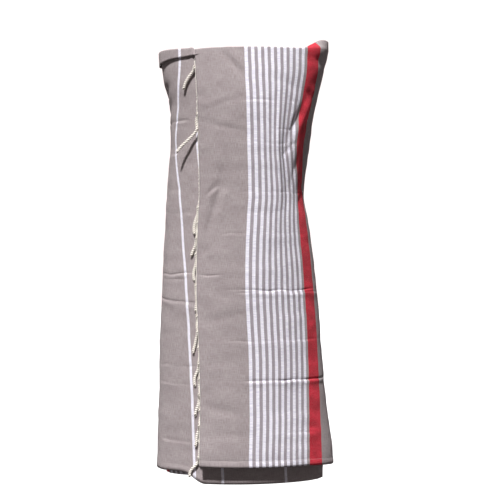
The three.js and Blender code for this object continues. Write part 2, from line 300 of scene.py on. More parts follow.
@dataclass
class Wrap:
    """The wound sheet: where each point of the flat cloth lies in space, in millimetres.

    Args:
        turns: how many times the line goes round.
        steps: number of steps in one turn.
        lowest: the lowest height that is wound.
        highest: the highest.
        height_step: distance between the heights.
        along_step: distance between the places kept along the cloth.
        run_in: how far the sheet is carried on before its outer end.
        run_out: how far it is carried on past its inner end.
        slack_from: where along the cloth its slack starts to be taken up.
        slack_to: where all of it is taken up.
        least_depth: the least depth that the back can have.
        most_depth: the most.
        halvings: how often the search for the back's depth halves its range.
        gathers: the gathers of the back.
    """

    turns: float = 2.4
    steps: int = 480
    lowest: float = -1060.0
    highest: float = 60.0
    height_step: float = 5.0
    along_step: float = 2.5
    run_in: float = 30.0
    run_out: float = 60.0
    slack_from: float = 140.0
    slack_to: float = 264.0
    least_depth: float = 40.0
    most_depth: float = 320.0
    halvings: int = 22
    gathers: Gathers = Gathers()

    SLOPE_STEPS = 4
    SEARCH = 12.0
    SEARCH_STEP = 0.5
    JUST_INSIDE = 1.001

    def __post_init__(self) -> None:
        """Winds the sheet."""
        self.heights = np.arange(self.lowest, self.highest + 0.1, self.height_step)
        self.alongs = np.arange(-self.run_in, CLOTH_LENGTH + self.run_out, self.along_step)
        self.girths = np.zeros(len(self.heights))
        self.places = self._wind()
        self.normals = self._outward()

    @staticmethod
    def _lift(turns: np.ndarray) -> np.ndarray:
        """Gives how far out a turn lies from the outline, in gaps between turns."""
        start = 0.5 * (1 - smooth(0, 0.16, turns))
        under = 0.5 * smooth(0.8, 1.0, turns) + 0.5 * smooth(1.0, 1.2, turns)
        return start - under - 0.5 * smooth(1.8, 2.0, turns) - 0.3 * smooth(2.0, 2.2, turns)

    def _line(self, row: dict[str, float], back: float) -> tuple[np.ndarray, np.ndarray]:
        """Winds the sheet at one height.

        Args:
            row: the outline's values at that height.
            back: depth of the back.

        Returns:
            The points of the line, and the length of the cloth up to each.
        """
        share = np.arange(0, int(self.turns * self.steps) + 1) / self.steps
        edge = row["edge"] / (row["left"] + 0.5 * row["gap"])
        first = -math.asin(edge ** (row["square"] / 2))
        angle = first + share * 2 * math.pi
        inward = row["gap"] * self._lift(share)
        across = np.sin(angle)
        ahead = np.cos(angle)
        power = 2 / row["square"]
        gather = row["gather"] * self.gathers.at(angle, row["height"])
        wide = np.where(across > 0, row["right"], row["left"]) + inward + gather
        deep = np.where(ahead > 0, row["front"], back) + inward + gather
        points = np.stack(
            [
                wide * np.sign(across) * np.abs(across) ** power,
                -deep * np.sign(ahead) * np.abs(ahead) ** power,
            ],
            axis=1,
        )
        steps = np.linalg.norm(np.diff(points, axis=0), axis=1)
        return points, np.concatenate([[0.0], np.cumsum(steps)])

    def _wind(self) -> np.ndarray:
        """Winds the sheet at every height and returns its places on a regular grid."""
        names = OUTLINE.columns[1:]
        grid = np.zeros((len(self.alongs), len(self.heights), 3))
        for j, height in enumerate(self.heights):
            row = {name: float(OUTLINE.read(name, height)) for name in names}
            row["height"] = float(height)
            low = self.least_depth
            high = self.most_depth
            for _ in range(self.halvings):
                middle = (low + high) / 2
                points, length = self._line(row, middle)
                if length[self.steps] > row["girth"] - row["slack"]:
                    high = middle
                else:
                    low = middle
            points, length = self._line(row, (low + high) / 2)
            self.girths[j] = length[self.steps] + row["slack"]
            before = self.alongs < 0
            taken = row["slack"] * smooth(self.slack_from, self.slack_to, self.alongs)
            for axis in range(2):
                grid[:, j, axis] = np.interp(self.alongs - taken, length, points[:, axis])
                slope = (points[self.SLOPE_STEPS, axis] - points[0, axis]) / length[self.SLOPE_STEPS]
                grid[before, j, axis] = points[0, axis] + slope * self.alongs[before]
            grid[:, j, 2] = height
        return grid

    def _outward(self) -> np.ndarray:
        """Gives the outward normal at each point of the grid."""
        side = np.gradient(self.places, axis=0)
        rise = np.gradient(self.places, axis=1)
        normal = np.cross(side, rise)
        return normal / np.linalg.norm(normal, axis=2, keepdims=True)

    def _sample(self, grid: np.ndarray, along: np.ndarray, height: np.ndarray) -> np.ndarray:
        """Reads a grid between its points."""
        x = np.clip((along - self.alongs[0]) / self.along_step, 0, len(self.alongs) - self.JUST_INSIDE)
        y = np.clip((height - self.heights[0]) / self.height_step, 0, len(self.heights) - self.JUST_INSIDE)
        i = x.astype(int)
        j = y.astype(int)
        s = (x - i)[..., None]
        t = (y - j)[..., None]
        low = grid[i, j] * (1 - s) + grid[i + 1, j] * s
        high = grid[i, j + 1] * (1 - s) + grid[i + 1, j + 1] * s
        return low * (1 - t) + high * t

    def bare(self, along: np.ndarray, height: np.ndarray) -> np.ndarray:
        """Gives the sheet's place without folds."""
        along, height = np.broadcast_arrays(np.asarray(along, float), np.asarray(height, float))
        return self._sample(self.places, along, height)

    def outward(self, along: np.ndarray, height: np.ndarray) -> np.ndarray:
        """Gives the sheet's outward normal without folds."""
        along, height = np.broadcast_arrays(np.asarray(along, float), np.asarray(height, float))
        normal = self._sample(self.normals, along, height)
        return normal / np.linalg.norm(normal, axis=-1, keepdims=True)

    def girth(self, height: np.ndarray) -> np.ndarray:
        """Gives the distance once round the outer turn."""
        return np.interp(height, self.heights, self.girths)

    def rise(self, along: np.ndarray, height: np.ndarray) -> np.ndarray:
        """Gives how far the folds and wrinkles move the sheet outward."""
        girth = self.girth(height)
        under = np.where(along > girth, along - girth, along)
        total = sum(fold.at(under, height) for fold in FOLDS)
        return total + Wrinkles.at(along, height)

    def sheet(self, along: np.ndarray, height: np.ndarray) -> np.ndarray:
        """Gives the sheet's place with its folds."""
        along, height = np.broadcast_arrays(np.asarray(along, float), np.asarray(height, float))
        rise = self.rise(along, height)[..., None]
        return self.bare(along, height) + self.outward(along, height) * rise

    def edge_over(self, height: float) -> tuple[float, float]:
        """Finds where the fringed edge lies over the cloth beneath it.

        Args:
            height: the height to look at.

        Returns:
            The distance along the cloth beneath, and how far above it the edge is.
        """
        edge = self.bare(0.0, height)
        alongs = self.girth(height) + np.arange(-self.SEARCH, self.SEARCH + 0.1, self.SEARCH_STEP)
        away = np.linalg.norm(self.bare(alongs, np.full(len(alongs), height)) - edge, axis=1)
        nearest = int(np.argmin(away))
        return float(alongs[nearest]), float(away[nearest])


@dataclass(frozen=True)
class Crease:
    """A pressed crease left from the cloth's packing.

    Args:
        height: its height.
        start: where it starts along the cloth.
        stop: where it ends.
        depth: how deep it is.
        tilt: how far it climbs for each millimetre along the cloth.
    """

    height: float
    start: float
    stop: float
    depth: float
    tilt: float = 0.0


CREASES = (
    Crease(-143, 110, 250, 0.6),
    Crease(-205, 160, 250, 0.9, -0.05),
    Crease(-240, 130, 250, 0.6),
    Crease(-352, 114, 300, 0.5),
    Crease(-448, 60, 290, 0.4),
    Crease(-543, 12, 60, 0.9),
    Crease(-578, 60, 330, 1.3),
    Crease(-584, 100, 330, 0.9),
    Crease(-694, 60, 320, 0.5),
    Crease(-786, 112, 335, 2.2),
    Crease(-905, 200, 340, 0.7, -0.03),
    Crease(-186, 900, 1000, 0.9),
    Crease(-262, 900, 1000, 0.5),
    Crease(-398, 890, 1000, 0.5, -0.03),
    Crease(-541, 880, 1000, 0.9),
    Crease(-553, 880, 960, 0.7),
    Crease(-600, 870, 1000, 1.8, -0.08),
    Crease(-755, 870, 1000, 0.7),
    Crease(-795, 870, 1000, 0.8, -0.05),
    Crease(-930, 870, 1000, 1.0),
)

SOFT_LINES = (
    Fold("top diagonal", 87, -57, -50, 38, 6, -3.0),
    Fold("top diagonal roll", 98, -50, -50, 38, 7, 2.2),
    Fold("curved crease", 30, -348, 45, 16, 4, -2.6),
    Fold("curved crease roll", 38, -352, 45, 16, 4, 2.0),
    Fold("long diagonal", 37, -383, 76, 80, 8, -3.2),
    Fold("long diagonal roll", 56, -390, 76, 80, 10, 2.4),
    Fold("dimple", 19, -488, 30, 10, 5, -2.6),
    Fold("hip line", 70, -640, 12, 60, 9, -1.6),
    Fold("low line", 46, -852, -14, 50, 9, -1.5),
    Fold("waist line", 66, -205, -12, 44, 7, -1.5),
    Fold("chest line", 60, -150, 18, 50, 8, -1.2),
    Fold("stripe pull upper", 232, -108, -24, 34, 7, -2.0),
    Fold("stripe pull lower", 236, -255, 38, 30, 6, -2.4),
    Fold("side pull", 255, -300, 60, 44, 8, -3.0),
    Fold("red pull", 286, -120, -30, 26, 7, -2.4),
    Fold("red pull lower", 290, -352, 50, 34, 7, -2.4),
    Fold("armhole crease upper", 890, -116, -30, 18, 4, -6),
    Fold("armhole crease lower", 893, -147, -45, 12, 4.5, -5),
    Fold("armhole hollow", 915, -225, 80, 45, 14, -5),
)


class Relief:
    """Smooth random unevenness, the same in every run."""

    SIZE = 128
    LATTICE = np.random.default_rng(5).standard_normal((SIZE, SIZE))

    @classmethod
    def at(cls, x: np.ndarray, y: np.ndarray) -> np.ndarray:
        """Reads the unevenness.

        Args:
            x: places along, in steps of the unevenness.
            y: places up, in the same steps.

        Returns:
            Values around 0, mostly between -1 and 1.
        """
        i = np.floor(x).astype(int)
        j = np.floor(y).astype(int)
        s = smooth(0, 1, x - i)
        t = smooth(0, 1, y - j)
        size = cls.SIZE
        low = cls.LATTICE[i % size, j % size] * (1 - s) + cls.LATTICE[(i + 1) % size, j % size] * s
        above = (j + 1) % size
        high = cls.LATTICE[i % size, above] * (1 - s) + cls.LATTICE[(i + 1) % size, above] * s
        return low * (1 - t) + high * t


class Wrinkles:
    """Small folds, pressed creases, hems and the loose lie of the cloth."""

    HEM_DEPTH = 14.0
    HEM_THICKNESS = 0.6
    SEAM_DEPTH = 0.7
    SEAM_WIDTH = 1.6
    PUCKER = 0.3
    PUCKER_REACH = 9.0
    CREASE_END = 14.0
    CREASE_WIDTH = 2.3
    CREASE_WANDER = 1.6
    SWELL = 0.6
    SWELL_BELOW = 6.5
    SWELL_WIDTH = 5.5
    COVERED_FROM = 1035.0
    COVERED_TO = 1060.0
    COVERED_SHARE = 0.3

    @staticmethod
    def _loose(along: np.ndarray, height: np.ndarray) -> np.ndarray:
        """Gives the cloth's broad lie, its level wrinkles and its fine crumple."""
        broad = 0.8 * Relief.at(along / 95, height / 120)
        level = 0.42 * Relief.at(along / 60 + 31, height / 19 + 7)
        fine = 0.2 * Relief.at(along / 21 + 57, height / 17 + 40)
        return broad + level + fine

    @classmethod
    def _pressed(cls, along: np.ndarray, height: np.ndarray) -> np.ndarray:
        """Gives the pressed creases: a sharp dip with a softer swell beneath it."""
        total = np.zeros(np.broadcast(along, height).shape)
        end = cls.CREASE_END
        for crease in CREASES:
            reach = smooth(crease.start - end, crease.start + end, along)
            reach = reach * (1 - smooth(crease.stop - end, crease.stop + end, along))
            uneven = Relief.at(along / 34, np.full_like(along, crease.height))
            reach = reach * np.clip(0.9 + 0.5 * uneven, 0.2, 1.6)
            wander = cls.CREASE_WANDER * Relief.at(along / 28 + 3, np.full_like(along, crease.height / 7))
            line = crease.height + crease.tilt * (along - crease.start) + wander
            off = height - line
            dip = -np.exp(-((off / cls.CREASE_WIDTH) ** 2))
            swell = cls.SWELL * np.exp(-(((off + cls.SWELL_BELOW) / cls.SWELL_WIDTH) ** 2))
            total = total + crease.depth * reach * (dip + swell)
        return total

    @classmethod
    def _hem(cls, along: np.ndarray, height: np.ndarray) -> np.ndarray:
        """Gives the doubled hem: thicker below its seam, with the seam's groove and its puckers."""
        above = height - EDGES.read("hem", along)
        thick = cls.HEM_THICKNESS * (1 - smooth(cls.HEM_DEPTH - 1, cls.HEM_DEPTH + 1.5, above))
        off = above - cls.HEM_DEPTH
        groove = -cls.SEAM_DEPTH * np.exp(-((off / cls.SEAM_WIDTH) ** 2))
        pucker = cls.PUCKER * Relief.at(along / 7 + 11, above / 30) * np.exp(-((off / cls.PUCKER_REACH) ** 2))
        return thick + groove + pucker

    @classmethod
    def at(cls, along: np.ndarray, height: np.ndarray) -> np.ndarray:
        """Gives the small relief of the sheet.

        Args:
            along: distances along the cloth.
            height: heights.

        Returns:
            How far the sheet is moved outward at each place.
        """
        along = np.asarray(along, dtype=float)
        soft = sum(line.at(along, height) for line in SOFT_LINES)
        shown = 1 - smooth(cls.COVERED_FROM, cls.COVERED_TO, along)
        small = cls._loose(along, height) + cls._pressed(along, height) + soft
        share = cls.COVERED_SHARE + (1 - cls.COVERED_SHARE) * shown
        return small * share + cls._hem(along, height)


@dataclass(frozen=True)
class Grid:
    """A sheet of points with their place on the flat cloth.

    Args:
        points: positions in millimetres, columns first.
        flat: distance along the cloth and height on it, in millimetres, for each point.
    """

    points: np.ndarray
    flat: np.ndarray


class MeshMaker:
    """Turns grids and tubes into mesh objects."""

    @staticmethod
    def normals(points: np.ndarray) -> np.ndarray:
        """Gives the outward normal at each point of a grid."""
        padded_u = np.concatenate([points[:1], points, points[-1:]], axis=0)
        padded_v = np.concatenate([points[:, :1], points, points[:, -1:]], axis=1)
        side = padded_u[2:] - padded_u[:-2]
        rise = padded_v[:, 2:] - padded_v[:, :-2]
        normal = np.cross(side, rise)
        return normal / np.maximum(np.linalg.norm(normal, axis=2, keepdims=True), TINY)

    @classmethod
    def sheet(cls, name: str, grid: Grid, thickness: float) -> bpy.types.Object:
        """Makes a closed sheet of even thickness over a grid.

        Args:
            name: name of the object.
            grid: the middle surface.
            thickness: thickness in millimetres.

        Returns:
            The new object.
        """
        columns, rows = grid.points.shape[:2]
        normal = cls.normals(grid.points)
        outer = grid.points + normal * (thickness / 2)
        inner = grid.points - normal * (thickness / 2)
        vertices = np.concatenate([outer.reshape(-1, 3), inner.reshape(-1, 3)]) * MM
        layer = columns * rows
        index = np.arange(layer).reshape(columns, rows)
        corner = index[:-1, :-1]
        beside = index[1:, :-1]
        opposite = index[1:, 1:]
        above = index[:-1, 1:]
        front = np.stack([corner, beside, opposite, above], axis=-1).reshape(-1, 4)
        back = np.stack([corner, above, opposite, beside], axis=-1).reshape(-1, 4) + layer
        rims = []
        for line in (index[::-1, 0], index[:, -1], index[0, :], index[-1, ::-1]):
            first = line[:-1]
            second = line[1:]
            rims.append(np.stack([first, second, second + layer, first + layer], axis=-1))
        faces = np.concatenate([front, back, *rims])
        flat = grid.flat.reshape(-1, 2) * MM
        return cls.build(name, vertices, faces, np.concatenate([flat, flat]))

    @staticmethod
    def build(
        name: str, vertices: np.ndarray, faces: np.ndarray, flat: np.ndarray | None
    ) -> bpy.types.Object:
        """Makes an object from arrays of vertices and faces of one size.

        Args:
            name: name of the object.
            vertices: positions in metres.
            faces: vertex numbers of each face.
            flat: cloth coordinates of each vertex, or None.

        Returns:
            The new object, smooth shaded and linked to the scene.
        """
        mesh = bpy.data.meshes.new(name)
        sides = faces.shape[1]
        mesh.vertices.add(len(vertices))
        mesh.vertices.foreach_set("co", vertices.astype(np.float32).ravel())
        mesh.loops.add(faces.size)
        mesh.loops.foreach_set("vertex_index", faces.astype(np.int32).ravel())
        mesh.polygons.add(len(faces))
        mesh.polygons.foreach_set("loop_start", np.arange(0, faces.size, sides, dtype=np.int32))
        mesh.update(calc_edges=True)
        mesh.validate()
        if flat is not None:
            layer = mesh.uv_layers.new(name="cloth")
            layer.data.foreach_set("uv", flat[faces.ravel()].astype(np.float32).ravel())
        mesh.shade_smooth()
        made = bpy.data.objects.new(name, mesh)
        bpy.context.scene.collection.objects.link(made)
        return made


@dataclass(frozen=True)
class Stretch:
    """A stretch of the cloth whose columns of faces are equally wide.

    Args:
        start: where it starts along the cloth.
        stop: where it stops.
        step: the width of its columns.
    """

    start: float
    stop: float
    step: float


@dataclass
class ClothBuilder:
    """Builds the fine visual sheet over the wound cloth.

    Args:
        wrap: the wound sheet.
        row_count: number of rows of faces from the hem to the top fold.
        arc_rows: number of rows round the top fold.
        flap_rows: number of rows on the turned flap.
        low: the height that stands for the hem where the rows are laid out.
        high: the height that stands for the top fold.
        bend_reach: how far the rows are bent away from their heights near the hem and the fold.
        crease_reach: how far from a crease the rows lie closer together.
        crease_density: how much closer they lie there.
        seam_density: how much closer they lie at the hem's seam.
        stretches: the stretches of the columns: fine in front, coarse where hidden.
    """

    wrap: Wrap
    row_count: int = 225
    arc_rows: int = 8
    flap_rows: int = 5
    low: float = -985.0
    high: float = -20.0
    bend_reach: float = 45.0
    crease_reach: float = 7.0
    crease_density: float = 2.6
    seam_density: float = 3.0
    stretches: tuple[Stretch, ...] = (
        Stretch(0, 345, 4.2),
        Stretch(345, 420, 7.5),
        Stretch(420, 860, 14),
        Stretch(860, 1045, 4.6),
        Stretch(1045, 1420, 25),
        Stretch(1420, CLOTH_LENGTH, 29),
    )

    def columns(self) -> np.ndarray:
        """Gives the distances along the cloth for the columns of the mesh."""
        places = [0.0]
        for stretch in self.stretches:
            length = stretch.stop - stretch.start
            count = round(length / stretch.step)
            places.extend(stretch.start + length * (k + 1) / count for k in range(count))
        return np.array(places)

    def rows(self) -> np.ndarray:
        """Gives the heights of the rows, closer together at the creases and the hem."""
        fine = np.arange(self.low, self.high + 0.5, 0.5)
        seam = self.low + Wrinkles.HEM_DEPTH
        density = 1 + self.seam_density * np.exp(-(((fine - seam) / self.crease_reach) ** 2))
        for crease in CREASES:
            density += self.crease_density * np.exp(-(((fine - crease.height) / self.crease_reach) ** 2))
        run = np.concatenate([[0.0], np.cumsum((density[1:] + density[:-1]) / 2)])
        return np.interp(np.arange(self.row_count + 1) / self.row_count, run / run[-1], fine)

    def grid(self) -> Grid:
        """Lays out the sheet from the hem to the top fold, round it and along the turned flap."""
        along = self.columns()
        fold = EDGES.read("fold", along)
        hem = EDGES.read("hem", along)
        turn = EDGES.read("turn", along) * math.pi
        flap = EDGES.read("flap", along)
        top = fold - TOP_FOLD_RADIUS
        level = self.rows()[None, :]
        heights = level + (hem - self.low)[:, None] * np.exp(-(level - self.low) / self.bend_reach)
        heights = heights + (top - self.high)[:, None] * np.exp(-(self.high - level) / self.bend_reach)
        wide = np.broadcast_to(along[:, None], heights.shape)
        panel = self.wrap.sheet(wide, heights)
        out = self.wrap.outward(along, top)
        spot = panel[:, -1].copy()
        extra_points = []
        extra_lengths = []
        travelled = np.zeros(len(along))
        bend = math.pi * TOP_FOLD_RADIUS / self.arc_rows
        for k in range(1, self.arc_rows + self.flap_rows + 1):
            curled = turn * min(1.0, (k - 0.5) / self.arc_rows)
            step = np.full(len(along), bend) if k <= self.arc_rows else flap / self.flap_rows
            move = out * (np.sin(curled) * step)[:, None]
            move[:, 2] += np.cos(curled) * step
            spot = spot + move
            travelled = travelled + step
            extra_points.append(spot.copy())
            extra_lengths.append(travelled.copy())
        points = np.concatenate([panel, np.stack(extra_points, axis=1)], axis=1)
        on_cloth = heights - hem[:, None]
        beyond = on_cloth[:, -1:] + np.stack(extra_lengths, axis=1)
        flat_height = np.concatenate([on_cloth, beyond], axis=1)
        flat = np.stack([np.broadcast_to(along[:, None], flat_height.shape), flat_height], axis=-1)
        return Grid(points, flat)

    def build(self) -> bpy.types.Object:
        """Makes the cloth object."""
        return MeshMaker.sheet("fouta_cloth", self.grid(), CLOTH_THICKNESS)


def across(path: np.ndarray) -> tuple[np.ndarray, np.ndarray, np.ndarray]:
    """Gives the direction of a path and two directions across it.

    Args:
        path: points of the path.

    Returns:
        At each point the direction ahead, the first direction across it and the second.
    """
    ahead = np.gradient(path, axis=0)
    ahead /= np.maximum(np.linalg.norm(ahead, axis=1, keepdims=True), TINY)
    first = np.cross(ahead, np.array(ACROSS_GUIDE))
    first /= np.linalg.norm(first, axis=1, keepdims=True)
    return ahead, first, np.cross(ahead, first)


class Tubes:
    """Collects round tubes along paths into one mesh, with a painted shade share at each vertex."""

    def __init__(self) -> None:
        self.vertices: list[np.ndarray] = []
        self.faces: list[np.ndarray] = []
        self.groove_shades: list[np.ndarray] = []
        self.count = 0

    def add(
        self, path: np.ndarray, radius: np.ndarray, sides: int, out: np.ndarray | None = None
    ) -> None:
        """Adds one closed tube.

        Args:
            path: points of the middle line, in millimetres.
            radius: radius at each point.
            sides: number of sides.
            out: direction away from the cord that the tube is a ply of, at each point, which sets where the
                painted shade of the groove falls.
        """
        _, first, second = across(path)
        angle = (np.arange(sides) * 2 * math.pi / sides)[None, :, None]
        ring = first[:, None] * np.cos(angle) + second[:, None] * np.sin(angle)
        points = path[:, None] + ring * radius[:, None, None]
        rings = len(path)
        index = np.arange(rings * sides).reshape(rings, sides)
        nxt = np.roll(index, -1, axis=1)
        body = np.stack([index[:-1], nxt[:-1], nxt[1:], index[1:]], axis=-1).reshape(-1, 4)
        ends = []
        for line, reverse in ((index[0], True), (index[-1], False)):
            for k in range(1, sides - 2, 2):
                quad = [line[0], line[k], line[k + 1], line[k + 2]]
                ends.append(quad[::-1] if reverse else quad)
        faces = np.concatenate([body, np.array(ends)]) + self.count
        # painted shade share: 1 on the side of a ply that faces the other ply, where the groove between them
        # lies; kept as the first uv coordinate
        deep = np.zeros(ring.shape[:2]) if out is None else 0.5 - 0.5 * np.sum(ring * out[:, None], axis=2)
        self.groove_shades.append(np.stack([deep.ravel(), np.zeros(deep.size)], axis=1))
        self.vertices.append(points.reshape(-1, 3) * MM)
        self.faces.append(faces)
        self.count += rings * sides

    def build(self, name: str) -> bpy.types.Object:
        """Makes one object of all the tubes.

        Args:
            name: name of the object.

        Returns:
            The new object.
        """
        parts = (np.concatenate(part) for part in (self.vertices, self.faces, self.groove_shades))
        return MeshMaker.build(name, *parts)


@dataclass
class FringeBuilder:
    """Builds the unwoven yarns and twisted cords at one end of the cloth.

    Args:
        wrap: the wound sheet.
        side: the end of the cloth.
        root_drop: how far below the top fold the first cord starts.
        root_share: how far across the strip of yarns the cords start.
        tucked_size: thickness of a cord tucked away, as a share of a free one's.
        pitch: length of one twist of a cord.
        ply_radius: radius of each ply.
        ply_offset: distance of each ply from the cord's middle line.
        ply_sides: number of sides of a ply.
        settle: share of a cord's length over which it comes down from the edge to the cloth.
        least_fall: the least height that a cord falls.
        sway: how far a cord wavers to the side.
        inner_length: length of the cords of the inner fringe.
        inner_lean: how far those lean inward.
        yarn_radius: radius of the yarns that gather into a cord.
        fray_radius: radius of the loose yarns at its tip.
        line_radius: radius of the twined yarn along the cut edge.
    """

    wrap: Wrap
    side: Side
    root_drop: float = 38.0
    root_share: float = 0.35
    tucked_size: float = 0.6
    pitch: float = 10.4
    ply_radius: float = 1.65
    ply_offset: float = 1.95
    ply_sides: int = 8
    settle: float = 0.34
    least_fall: float = 20.0
    sway: float = 1.6
    inner_length: float = 58.0
    inner_lean: float = 8.0
    yarn_radius: float = 0.36
    fray_radius: float = 0.4
    line_radius: float = 0.45

    def __post_init__(self) -> None:
        """Starts the fringe's random numbers and its empty set of tubes."""
        self.random = np.random.default_rng(self.side.seed)
        self.tubes = Tubes()

    @property
    def end(self) -> float:
        """The distance along the cloth of this end."""
        return 0.0 if self.side is Side.OUTER else CLOTH_LENGTH

    def beyond(self, height: float, distance: float) -> np.ndarray:
        """Gives a point beside the end of the cloth, in the plane of the sheet.

        Args:
            height: its height.
            distance: how far it is from the end.

        Returns:
            The point.
        """
        inner = 5.0 if self.side is Side.OUTER else CLOTH_LENGTH - 5.0
        end = self.wrap.sheet(self.end, height)
        away = end - self.wrap.sheet(inner, height)
        return end + away / np.linalg.norm(away) * distance

    @staticmethod
    def curve(points: Sequence[np.ndarray], step: float = 0.8) -> np.ndarray:
        """Draws a smooth curve through points.

        Args:
            points: the points.
            step: distance between the points returned.

        Returns:
            Points along the curve, evenly spaced.
        """
        data = np.array(points)
        padded = np.concatenate([[2 * data[0] - data[1]], data, [2 * data[-1] - data[-2]]])
        fine = []
        for k in range(1, len(padded) - 2):
            p0, p1, p2, p3 = padded[k - 1 : k + 3]
            for t in np.linspace(0, 1, 24, endpoint=False):
                straight = 2 * p1 + (p2 - p0) * t
                bent = (2 * p0 - 5 * p1 + 4 * p2 - p3) * t**2 + (3 * p1 - p0 - 3 * p2 + p3) * t**3
                fine.append(0.5 * (straight + bent))
        fine.append(padded[-2])
        fine = np.array(fine)
        length = np.concatenate([[0], np.cumsum(np.linalg.norm(np.diff(fine, axis=0), axis=1))])
        places = np.linspace(0, length[-1], max(8, int(length[-1] / step)))
        return np.stack([np.interp(places, length, fine[:, axis]) for axis in range(3)], axis=1)

    def outer_path(self, root: float, cord: Cord) -> np.ndarray:
        """Gives the path of a cord of the outer fringe.

        Args:
            root: height of its root.
            cord: the cord.

        Returns:
            Points of its middle line.
        """
        _, gap = self.wrap.edge_over(root)
        start = STRIP_GAP + self.root_share * STRIP_WIDTH
        points = []
        for share in (0, 0.1, 0.22, 0.35, 0.5, 0.65, 0.82, 1):
            sideways = smooth(self.settle, 1, share) if cord.tip < 0 else smooth(0, 1, share)
            left_of = start + (cord.tip - start) * float(sideways)
            fall = share * math.sqrt(max(cord.length**2 - cord.tip**2, self.least_fall**2))
            stand_off = gap + (CORD_ON_CLOTH - gap) * float(smooth(0, self.settle, share))
            if cord.tip < 0:
                left_of -= start * (1 - share)
                stand_off = CORD_ON_CLOTH
            stand_off += cord.lift * share
            height = root - fall
            along, _ = self.wrap.edge_over(height)
            along -= left_of
            if cord.tip > 0:
                along += self.sway * math.sin(7 * share + root) * float(smooth(0.1, 0.5, share))
            place = self.wrap.bare(along, height) + self.wrap.outward(along, height) * stand_off
            points.append(place)
        return self.curve(points)

    def inner_path(self, root: float) -> np.ndarray:
        """Gives the path of a cord of the inner fringe.

        Args:
            root: height of its root.

        Returns:
            Points of its middle line.
        """
        out = self.wrap.outward(CLOTH_LENGTH, root)
        start = self.beyond(root, STRIP_GAP + 3.6) - out
        drop = np.array([0.0, 0.0, -self.inner_length])
        points = []
        for share in (0, 0.2, 0.6, 1):
            points.append(start - out * self.inner_lean * math.sqrt(share) + drop * share)
        return self.curve(points, 1.6)

    def twist(self, path: np.ndarray, size: float) -> None:
        """Winds two plies round a path, and frays the tip of a cord that shows.

        Args:
            path: the middle line of the cord.
            size: the cord's thickness, 1 where it lies free.
        """
        ahead, first, second = across(path)
        length = np.concatenate([[0], np.cumsum(np.linalg.norm(np.diff(path, axis=0), axis=1))])
        phase = 2 * math.pi * length / self.pitch + self.random.uniform(0, 6)
        taper = size * (0.5 + 0.5 * smooth(0, 4, length))
        for ply in (0, math.pi):
            turn = phase + ply
            offset = first * np.cos(turn)[:, None] + second * np.sin(turn)[:, None]
            middle = path + offset * (self.ply_offset * taper)[:, None]
            self.tubes.add(middle, self.ply_radius * taper, self.ply_sides, offset)
        if self.side is Side.OUTER:
            self.fray(path[-1], ahead[-1], first[-1], second[-1])

    def fray(self, tip: np.ndarray, ahead: np.ndarray, first: np.ndarray, second: np.ndarray) -> None:
        """Draws the loose yarns past the tip of a cord.

        Args:
            tip: the cord's last point.
            ahead: its direction there.
            first: one direction across it.
            second: the other direction across it.
        """
        for _ in range(4):
            spread = first * self.random.uniform(-1, 1) + second * self.random.uniform(-1, 1)
            length = self.random.uniform(2.5, 5)
            middle = tip + ahead * length * 0.5 + spread * 0.6
            end = tip + ahead * length + spread * 1.3
            self.tubes.add(self.curve([tip - ahead, middle, end], 1.2), np.full(1, self.fray_radius), 4)

    def yarns(self, root: float, start: np.ndarray) -> None:
        """Draws the thin yarns that gather from the edge of the cloth into a cord.

        Args:
            root: height of the cord's root.
            start: the cord's first point.
        """
        for share in np.linspace(-1, 1, 5):
            height = root + 5 + share * CORD_SPACING * self.random.uniform(0.2, 0.42)
            height = min(height, float(EDGES.read("fold", self.end)) - 8)
            height = max(height, float(EDGES.read("hem", self.end)) + 3)
            foot = self.beyond(height, -0.6)
            middle = self.beyond(height - 4, STRIP_GAP + 1.2)
            path = self.curve([foot, middle, (middle + start) / 2, start], 2.0)
            self.tubes.add(path, np.full(1, self.yarn_radius), 4)

    def build(self) -> bpy.types.Object:
        """Makes the whole fringe as one object."""
        top = float(EDGES.read("fold", self.end)) - self.root_drop
        for number, cord in enumerate(OUTER_CORDS):
            root = top - number * CORD_SPACING
            path = self.outer_path(root, cord) if self.side is Side.OUTER else self.inner_path(root)
            tucked = self.side is Side.INNER or cord.tip < 0
            self.twist(path, self.tucked_size if tucked else 1.0)
            self.yarns(root, path[0])
        self.edge_line()
        return self.tubes.build(f"fringe_cords_{self.side.value}")

    def edge_line(self) -> None:
        """Draws the thin twined yarn that runs along the cut edge."""
        high = float(EDGES.read("fold", self.end)) - 28
        low = float(EDGES.read("hem", self.end)) + 2
        heights = np.linspace(high, low, 150)
        points = [self.beyond(height, STRIP_GAP * 0.6 + 0.5 * math.sin(height / 5)) for height in heights]
        self.tubes.add(np.array(points), np.full(1, self.line_radius), 5)


@dataclass(frozen=True)
class Band:
    """One stripe of the cloth, in millimetres from its end.

    Args:
        start: where it starts.
        stop: where it stops.
    """

    start: float
    stop: float

    @classmethod
    def row(cls, start: float, pitch: float, width: float, count: int) -> tuple["Band", ...]:
        """Gives a row of equal bands.

        Args:
            start: where the first one starts.
            pitch: distance from one to the next.
            width: width of each.
            count: how many there are.

        Returns:
            The bands.
        """
        starts = [start + pitch * number for number in range(count)]
        return tuple(cls(place, place + width) for place in starts)


WHITE_BANDS = Band.row(114.3, 15.3, 7.7, 10)
STRIPED_PART = Band(114, 262)
THIN_BANDS = Band.row(371.25, 148.0, 6.5, 5)
RED_BAND = Band(267, 304)


